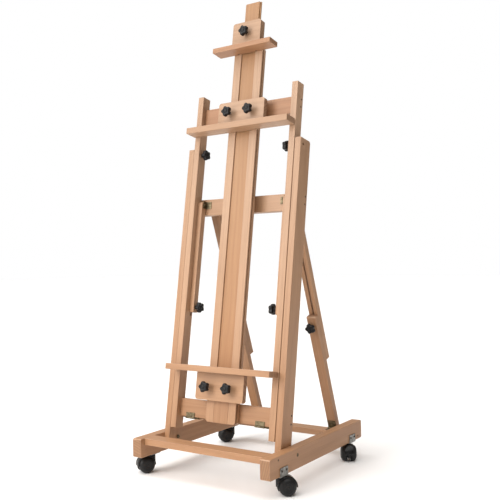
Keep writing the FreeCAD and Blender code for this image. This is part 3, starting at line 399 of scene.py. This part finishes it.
def thread(low, high, radius):
    """Profile of a threaded stud."""
    profile = [(low, 0.0), (low, radius * 0.8), (low + 0.5 * MM, radius * 0.98)]
    height = low + 0.5 * MM
    while height + THREAD_PITCH < high:
        profile.append((height + THREAD_PITCH * 0.5, radius * 0.86))
        height += THREAD_PITCH
        profile.append((height, radius * 0.98))
    return profile + [(high, radius * 0.9), (high, 0.0)]


def hex_nut(origin, axis, low, high, radius):
    """A chamfered hexagon nut."""
    def flats(angle, r):
        step = math.pi / 3
        inside = (angle % step) - step / 2
        return min(r, radius * math.cos(step / 2) / math.cos(inside))
    chamfer = 0.12 * radius
    profile = [(low, 0.0), (low, radius * 0.86), (low + chamfer, radius), (high - chamfer, radius),
               (high, radius * 0.86), (high, 0.0)]
    return lathe(origin, axis, profile, 48, flats)


def screw_head(centre, out, radius, dome, recess):
    """A screw head's top with a cross recess, and its short rim."""
    first, second, out = axes_about(out)
    verts = []
    rings = []
    for ring in range(HEAD_RINGS, 0, -1):
        r = radius * ring / HEAD_RINGS
        row = []
        for step in range(HEAD_SEGMENTS):
            angle = 2 * math.pi * step / HEAD_SEGMENTS
            u = r * math.cos(angle)
            v = r * math.sin(angle)
            height = dome * (1 - (r / radius) ** 2)
            arm = min(abs(u), abs(v))
            reach = max(abs(u), abs(v))
            if arm < radius * SLOT_HALF and reach < radius * SLOT_REACH:
                height -= recess * (1 - reach / (radius * SLOT_FADE))
            row.append(len(verts))
            verts.append(centre + first * u + second * v + out * height)
        rings.append(row)
    foot = []
    for step in range(HEAD_SEGMENTS):
        angle = 2 * math.pi * step / HEAD_SEGMENTS
        foot.append(len(verts))
        arm = first * math.cos(angle) + second * math.sin(angle)
        verts.append(centre + arm * radius * RIM_FOOT - out * radius * RIM_DEPTH)
    faces = []
    for outer, inner in zip([foot] + rings, rings):
        for step in range(HEAD_SEGMENTS):
            nxt = (step + 1) % HEAD_SEGMENTS
            faces.append((outer[step], outer[nxt], inner[nxt], inner[step]))
    top = len(verts)
    verts.append(centre + out * (dome - recess))
    bottom = len(verts)
    verts.append(centre - out * radius * RIM_DEPTH)
    for step in range(HEAD_SEGMENTS):
        nxt = (step + 1) % HEAD_SEGMENTS
        faces.append((rings[-1][step], rings[-1][nxt], top))
        faces.append((foot[nxt], foot[step], bottom))
    return verts, faces


def long_axis(points):
    """Direction towards the wide end, and the greatest radius, of a slender turned solid."""
    middle = points.mean(axis=0)
    _u, _s, rows = np.linalg.svd(points - middle)
    axis = rows[0]
    along = (points - middle) @ axis
    radial = np.linalg.norm((points - middle) - np.outer(along, axis), axis=1)
    wide = along[np.argmax(radial)]
    if wide < (along.max() + along.min()) / 2:
        axis, along = -axis, -along
    return Vector(axis), radial.max()


def on_axis(points, axis):
    """The point on the axis of a turned solid, at the height of its mean."""
    axis = np.array(axis)
    flat = points - np.outer(points @ axis, axis)
    centre = (flat.max(axis=0) + flat.min(axis=0)) / 2
    return Vector(centre)


def bolt_shells(points, axis):
    """A bolt drawn whole, its steps read off the CAD solid: domed head, shank and washers."""
    centre = on_axis(points, axis)
    rel = points - np.array(centre)
    along = rel @ np.array(axis)
    radial = np.linalg.norm(rel - np.outer(along, np.array(axis)), axis=1)
    tip = radial.max()
    thin = radial[radial < BOLT_SHARE * tip].max()
    wide = np.sort(along[radial > 0.98 * tip])
    breaks = np.nonzero(np.diff(wide) > thin)[0]
    starts = [wide[0]] + [wide[i + 1] for i in breaks]
    ends = [wide[i] for i in breaks] + [wide[-1]]
    shells = [lathe(centre, axis, thread(along.min(), along.max() - 0.5 * MM, thin), STUD_TURNS)]
    for low, high in zip(starts, ends):
        if high - low < 0.5 * MM:
            continue
        if high > along.max() - MM:
            rim = 0.25 * (high - low)
            profile = [(low, 0.0), (low, tip), (high - rim, tip), (high - 0.3 * rim, 0.93 * tip),
                       (high, 0.80 * tip), (high, 0.0)]
            shells.append(lathe(centre, axis, profile, HEAD_SEGMENTS))
        else:
            shells.append(hex_nut(centre, axis, low, high, tip))
    return shells


def screw_heads(name, node, body, material):
    """Visible heads for the screws of a CAD fastener node, and its bolts drawn whole."""
    build = Build()
    bolts = Build()
    for points in islands(node):
        axis, radius = long_axis(points)
        if radius > BOLT_HEAD_FROM:
            for shell in bolt_shells(points, axis):
                bolts.add(shell)
            continue
        centre = on_axis(points, axis)
        top = max(float(np.dot(p, np.array(axis))) for p in points)
        head_at = centre + axis * top
        build.add(screw_head(head_at - axis * (HEAD_SINK * radius), axis, HEAD_FIT * radius,
                             HEAD_DOME * radius, HEAD_RECESS * radius))
        shank = [(-0.3 * radius, 0.0), (-0.3 * radius, 0.5 * radius),
                 (-SHANK_SHOWN, 0.48 * radius), (-SHANK_SHOWN - 2 * MM, 0.0)]
        build.add(lathe(head_at, axis, shank, SHANK_TURNS))
    piece = build.object(name, material, 0.6)
    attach(piece, body)
    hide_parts(node)
    if bolts.verts:
        piece = bolts.object(name + "_bolts", BRASS, 0.6)
        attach(piece, body)


for node, body in (("inner_fasteners", "inner_frame"), ("upper_screws", "upper_holder"),
                   ("tray_screws", "tray_holder"), ("clamp_screws", "top_clamp"),
                   ("base_fasteners", "base"), ("frame_fasteners", "outer_frame")):
    screw_heads(node + "_detailed", node, body, DARK_STEEL)


# ------------------------------------------------------------------ knobs
LOBES = 5
LOBE_DEPTH = 0.235           # of the tip radius, as are the next two
LOBE_FROM = 0.45             # radius where the hollows between the lobes begin
LOBE_BLEND = 0.5             # width over which they reach their full depth
LOBE_POWER = 1.05            # above 1, the lobes are a little wider than the hollows
KNOB_TURNS = 100
GRIP_FULLER = 1.05           # the moulded grip swells a little past the plain CAD lobes
HUB_R = 8.0 * MM             # hub, stud and nut as in the CAD knob
HUB_SLACK = 0.5 * MM
HUB_TURNS = 40
STUD_R = 3.0 * MM
NUT_R = 5.5 * MM
NUT_BAND = (5.0 * MM, 6.2 * MM)    # radii that only the nut has


def lobed(tip):
    """Radius of the grip at an angle: five lobes that fade out towards the hub."""
    def shape(angle, radius):
        scallop = (0.5 - 0.5 * math.cos(LOBES * angle)) ** LOBE_POWER
        share = min(max((radius - LOBE_FROM * tip) / (LOBE_BLEND * tip), 0.0), 1.0)
        return radius - LOBE_DEPTH * tip * scallop * share
    return shape


def knob_shell(origin, axis, low, high, tip):
    """The grip with rounded rims and a sunk centre cap; low is its side towards the wood."""
    thick = high - low
    rim = 0.11 * thick
    profile = [
        (low, 0.0), (low, 0.55 * tip), (low, tip - 2.4 * rim), (low + 0.25 * rim, tip - 1.1 * rim),
        (low + 0.8 * rim, tip - 0.35 * rim), (low + 1.8 * rim, tip),
        (high - 3.0 * rim, tip), (high - 1.6 * rim, tip - 0.25 * rim), (high - 0.6 * rim, tip - 1.0 * rim),
        (high - 0.1 * rim, tip - 2.2 * rim), (high, tip - 3.4 * rim), (high, 0.46 * tip),
        (high - 0.25 * rim, 0.43 * tip), (high - 0.7 * rim, 0.41 * tip), (high - 0.7 * rim, 0.36 * tip),
        (high - 0.1 * rim, 0.33 * tip), (high + 0.35 * rim, 0.22 * tip), (high + 0.5 * rim, 0.0),
    ]
    return lathe(origin, axis, profile, KNOB_TURNS, lobed(tip))


def star_knob(node, body, joint):
    """Grip, hub, threaded stud and nut in place of a CAD knob, sized from that solid."""
    points = islands(node)[0]
    axis = Vector(JOINTS[joint]["axis"]).normalized()
    origin = Vector(JOINTS[joint]["pos_m"])
    rel = points - np.array(origin)
    along = rel @ np.array(axis)
    radial = np.linalg.norm(rel - np.outer(along, np.array(axis)), axis=1)
    tip = radial.max()
    head = along[radial > 0.8 * tip]
    low, high = head.min(), head.max()
    build = Build()
    build.add(knob_shell(origin, axis, low, high, GRIP_FULLER * tip))
    hub = along[(radial > HUB_R - HUB_SLACK) & (radial < HUB_R + HUB_SLACK)]
    hub_low = hub.min()
    flare = low + 0.2 * MM
    build.add(lathe(origin, axis, [
        (hub_low, 0.0), (hub_low, HUB_R - 0.8 * MM), (hub_low + 0.6 * MM, HUB_R - 0.1 * MM),
        (low - 1.6 * MM, HUB_R), (low - 0.3 * MM, HUB_R + 1.0 * MM),
        (flare, HUB_R + 1.4 * MM), (flare, 0.0)], HUB_TURNS))
    grip = build.object(node + "_grip", KNOB_BLACK, 0.9)
    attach(grip, body)
    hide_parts(node)
    foot = along.min()
    if foot < hub_low - MM:
        steel = Build()
        steel.add(lathe(origin, axis, thread(foot, hub_low + 0.5 * MM, STUD_R), STUD_TURNS))
        nut = along[(radial > NUT_BAND[0]) & (radial < NUT_BAND[1])]
        if len(nut):
            steel.add(hex_nut(origin, axis, nut.min(), nut.max(), NUT_R))
        stud = steel.object(node + "_stud", STUD_STEEL)
        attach(stud, body)


for joint in frame["joints"]:
    if joint["name"].endswith("_turn"):
        star_knob(joint["child"], joint["child"], joint["name"])


# ------------------------------------------------------------------ castor wheels
WHEEL_R = 31.0 * MM
WHEEL_INNER = 6.5 * MM       # inner face of a wheel from the middle of the pair
WHEEL_OUTER = 30.5 * MM
TREAD_END = WHEEL_INNER + 8.0 * MM    # where the tread ends and the domed side begins
COVER_R = 15.0 * MM
CAP_R = 8.0 * MM
AXLE_R = 4.0 * MM
DOME_STEPS = 12
WHEEL_TURNS = 72
AXLE_TURNS = 32


def wheel_profile(side):
    """One wheel: grooved tread, round outer shoulder, domed cover with a fine ring."""
    inner = WHEEL_INNER
    half = [
        (inner, 0.0), (inner, WHEEL_R - 7.0 * MM), (inner + 0.6 * MM, WHEEL_R - 4.5 * MM),
        (inner + 0.8 * MM, WHEEL_R - 2.4 * MM), (inner + 1.6 * MM, WHEEL_R - 0.8 * MM),
        (inner + 3.0 * MM, WHEEL_R),
        (inner + 5.0 * MM, WHEEL_R), (inner + 5.4 * MM, WHEEL_R - 0.6 * MM), (inner + 5.8 * MM, WHEEL_R),
        (TREAD_END - 0.4 * MM, WHEEL_R),
    ]
    for step in range(DOME_STEPS + 1):
        angle = math.pi / 2 * step / DOME_STEPS
        half.append((TREAD_END + (WHEEL_OUTER - TREAD_END) * math.sin(angle),
                     COVER_R + (WHEEL_R - COVER_R) * math.cos(angle)))
    half += [
        (WHEEL_OUTER - 0.8 * MM, COVER_R - 0.4 * MM), (WHEEL_OUTER - 0.8 * MM, COVER_R - 1.2 * MM),
        (WHEEL_OUTER - 0.1 * MM, COVER_R - 1.8 * MM), (WHEEL_OUTER, CAP_R),
        (WHEEL_OUTER - 0.5 * MM, CAP_R - 2.0 * MM), (WHEEL_OUTER - 0.9 * MM, CAP_R - 2.5 * MM),
        (WHEEL_OUTER - 0.4 * MM, CAP_R - 3.2 * MM), (WHEEL_OUTER - 0.1 * MM, 0.0),
    ]
    return [(side * height, radius) for height, radius in half]


def caster_wheels(where):
    """The two wheels and the axle of one castor, about its roll joint's axis."""
    joint = JOINTS["roll_" + where]
    origin = Vector(joint["pos_m"])
    axis = Vector(joint["axis"]).normalized()
    build = Build()
    for side in (-1, 1):
        build.add(lathe(origin, axis, wheel_profile(side), WHEEL_TURNS))
    wheels = build.object("wheels_" + where, TYRE_BLACK, 0.6)
    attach(wheels, joint["child"])
    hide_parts("caster_wheels_" + where)
    pin = Build()
    reach = WHEEL_INNER + MM
    profile = [(-reach, 0.0), (-reach, AXLE_R), (reach, AXLE_R), (reach, 0.0)]
    pin.add(lathe(origin, axis, profile, AXLE_TURNS))
    axle = pin.object("axle_" + where, STUD_STEEL)
    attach(axle, joint["child"])


for corner in CORNERS:
    caster_wheels(corner)


# ------------------------------------------------------------------ finishes of the CAD nodes
def dress(node, material):
    obj = NODES[node]
    obj.data.materials.clear()
    obj.data.materials.append(material)


def eased(node, width, segments=2):
    """Rounds a sharp-edged CAD node's edges with modifiers."""
    obj = NODES[node]
    weld = obj.modifiers.new("weld", "WELD")
    weld.merge_threshold = 1e-6
    bevel = obj.modifiers.new("bevel", "BEVEL")
    bevel.width = width
    bevel.segments = segments
    bevel.limit_method = "ANGLE"
    bevel.angle_limit = math.radians(35)
    bevel.use_clamp_overlap = True
    bevel.harden_normals = False


ALONG_STRUT = (STRUT_AXIS, STRUT_BACK)
LEANED = (LEAN_AXIS, FRAME_BACK)
CROSSWISE = (X_AXIS, FRAME_BACK)
WOOD_NODES = {
    "skid_left": (Y_AXIS, X_AXIS, BEECH), "skid_right": (Y_AXIS, X_AXIS, BEECH),
    "front_board": (X_AXIS, Z_AXIS, BEECH), "rear_board": (X_AXIS, Z_AXIS, BEECH_PALE),
    "post_left": (*LEANED, BEECH), "post_right": (*LEANED, BEECH),
    "middle_bar": (*CROSSWISE, BEECH), "rear_low_bar": (*CROSSWISE, BEECH),
    "rail_left": (*LEANED, BEECH_PALE), "rail_right": (*LEANED, BEECH_PALE),
    "upper_cross_bar": (*CROSSWISE, BEECH_RED), "lower_cross_bar": (*CROSSWISE, BEECH),
    "mast_strip_left": (*LEANED, BEECH_PALE), "mast_strip_right": (*LEANED, BEECH_PALE),
    "mast_back": (*LEANED, BEECH), "mast_foot_block": (*LEANED, BEECH),
    "inner_mast": (*LEANED, BEECH_WARM),
    "upper_block": (*CROSSWISE, BEECH_PALE), "upper_ledge": (*CROSSWISE, BEECH),
    "tray_block": (*CROSSWISE, BEECH_PALE), "tray_ledge": (*CROSSWISE, BEECH),
    "clamp_block": (*CROSSWISE, BEECH_PALE), "clamp_ledge": (*CROSSWISE, BEECH_RED),
    "stay_left": (*LEANED, BEECH), "stay_right": (*LEANED, BEECH),
    "strut_lower_left": (*ALONG_STRUT, BEECH), "strut_lower_right": (*ALONG_STRUT, BEECH),
    "strut_upper_left": (*ALONG_STRUT, BEECH), "strut_upper_right": (*ALONG_STRUT, BEECH),
}
FIRST_SEED = 100
for index, (node, (grain, face, tones)) in enumerate(WOOD_NODES.items()):
    dress(node, wood(node, grain, face, FIRST_SEED + index, tones))
for corner in CORNERS:
    dress("caster_hood_" + corner, CASTER_BLACK)
    eased("caster_hood_" + corner, 0.7 * MM)
for node, material in (("caster_plates", ZINC), ("foot_hinge_leaves", BRASS), ("frame_hinges", BRASS),
                       ("tilt_hinge_leaves", BRASS), ("strut_foot_leaf_left", BRASS),
                       ("strut_foot_leaf_right", BRASS)):
    dress(node, material)
for node in ("upper_block", "tray_block", "clamp_block"):
    eased(node, 1.6 * MM, 3)


# ------------------------------------------------------------------ studio
FLOOR_HALF = 30.0
WHITE_SIDE = (-0.80, -0.30, 0.52)    # direction of the brightest part of the studio
WORLD_FROM = -0.5                    # cosine to that direction where the studio is dimmest
WORLD_TO = 0.9                       # and where it is brightest
WORLD_LOW = 0.13
WORLD_HIGH = 0.80
SHADE_TINT = (1.0, 0.84, 0.68)       # warm reflections in the dim part of the studio


def floor():
    corners = [(-FLOOR_HALF, -FLOOR_HALF, 0), (FLOOR_HALF, -FLOOR_HALF, 0),
               (FLOOR_HALF, FLOOR_HALF, 0), (-FLOOR_HALF, FLOOR_HALF, 0)]
    m = Tree("studio_floor")
    coords = m.add("ShaderNodeTexCoord")
    cloud = m.noise(coords.outputs["Object"], 1.4, 3.0)
    m.set(Base_Color=m.mix(m.spread(cloud, 0.3, 0.7), (0.90, 0.90, 0.90), (0.94, 0.94, 0.94)))
    m.shader.inputs["Roughness"].default_value = 0.9
    mesh = bpy.data.meshes.new("floor")
    mesh.from_pydata(corners, [], [(0, 1, 2, 3)])
    mesh.materials.append(m.material)
    obj = bpy.data.objects.new("floor", mesh)
    bpy.context.collection.objects.link(obj)


def area_light(name, place, target, size, power, colour):
    data = bpy.data.lights.new(name, "AREA")
    data.size = size
    data.energy = power
    data.color = colour
    obj = bpy.data.objects.new(name, data)
    obj.location = place
    obj.rotation_euler = (Vector(target) - Vector(place)).to_track_quat("-Z", "Y").to_euler()
    bpy.context.collection.objects.link(obj)


def sun_light(name, toward, strength, spread):
    """Even light from above, spread over that many degrees; it keeps the floor white to the horizon."""
    data = bpy.data.lights.new(name, "SUN")
    data.energy = strength
    data.angle = math.radians(spread)
    obj = bpy.data.objects.new(name, data)
    obj.rotation_euler = Vector(toward).to_track_quat("Z", "Y").to_euler()
    bpy.context.collection.objects.link(obj)


def world_light():
    """Studio that is brightest from the upper left and dim from the right; its backdrop is plain white."""
    world = bpy.data.worlds.new("studio")
    world.use_nodes = True
    tree = world.node_tree
    coords = tree.nodes.new("ShaderNodeTexCoord")
    toward = tree.nodes.new("ShaderNodeVectorMath")
    toward.operation = "DOT_PRODUCT"
    tree.links.new(coords.outputs["Generated"], toward.inputs[0])
    toward.inputs[1].default_value = WHITE_SIDE
    ramp = tree.nodes.new("ShaderNodeMapRange")
    tree.links.new(toward.outputs["Value"], ramp.inputs["Value"])
    ramp.inputs["From Min"].default_value = WORLD_FROM
    ramp.inputs["From Max"].default_value = WORLD_TO
    ramp.inputs["To Min"].default_value = WORLD_LOW
    ramp.inputs["To Max"].default_value = WORLD_HIGH
    path = tree.nodes.new("ShaderNodeLightPath")
    seen = tree.nodes.new("ShaderNodeMath")
    seen.operation = "MAXIMUM"
    tree.links.new(ramp.outputs[0], seen.inputs[0])
    tree.links.new(path.outputs["Is Camera Ray"], seen.inputs[1])
    tree.links.new(seen.outputs[0], tree.nodes["Background"].inputs[1])
    tint = tree.nodes.new("ShaderNodeMix")
    tint.data_type = "RGBA"
    tree.links.new(seen.outputs[0], tint.inputs[0])
    tint.inputs[6].default_value = (*SHADE_TINT, 1.0)
    tint.inputs[7].default_value = (1.0, 1.0, 1.0, 1.0)
    tree.links.new(tint.outputs[2], tree.nodes["Background"].inputs[0])
    bpy.context.scene.world = world


floor()
world_light()
area_light("key", place=(-1.6, -3.9, 2.4), target=(0, 0, 0.8), size=2.4, power=122.0,
           colour=(1.0, 0.965, 0.92))
sun_light("top", toward=(-0.1, -0.35, 1.0), strength=2.45, spread=80.0)


# ------------------------------------------------------------------ camera
CAM_PLACE = Vector((1.5587, -2.3411, 0.7861))
CAM_AZIMUTH = math.radians(33.59)
CAM_ELEVATION = math.radians(0.99)
CAM_ROLL = math.radians(-0.91)
CAM_LENS = 51.84
CAM_SENSOR = 36.0


def camera():
    """The photographer's view: in front of the easel and to its right, at about half its height."""
    look = Vector((-math.sin(CAM_AZIMUTH) * math.cos(CAM_ELEVATION),
                   math.cos(CAM_AZIMUTH) * math.cos(CAM_ELEVATION), math.sin(CAM_ELEVATION)))
    right = Vector((math.cos(CAM_AZIMUTH), math.sin(CAM_AZIMUTH), 0))
    up = right.cross(look)
    across = right * math.cos(CAM_ROLL) + up * math.sin(CAM_ROLL)
    upward = up * math.cos(CAM_ROLL) - right * math.sin(CAM_ROLL)
    data = bpy.data.cameras.new("camera")
    data.lens = CAM_LENS
    data.sensor_width = CAM_SENSOR
    obj = bpy.data.objects.new("camera", data)
    basis = Matrix((across, upward, -look)).transposed()
    obj.matrix_world = Matrix.Translation(CAM_PLACE) @ basis.to_4x4()
    bpy.context.collection.objects.link(obj)
    bpy.context.scene.camera = obj


camera()
bpy.context.scene.view_settings.view_transform = "Standard"
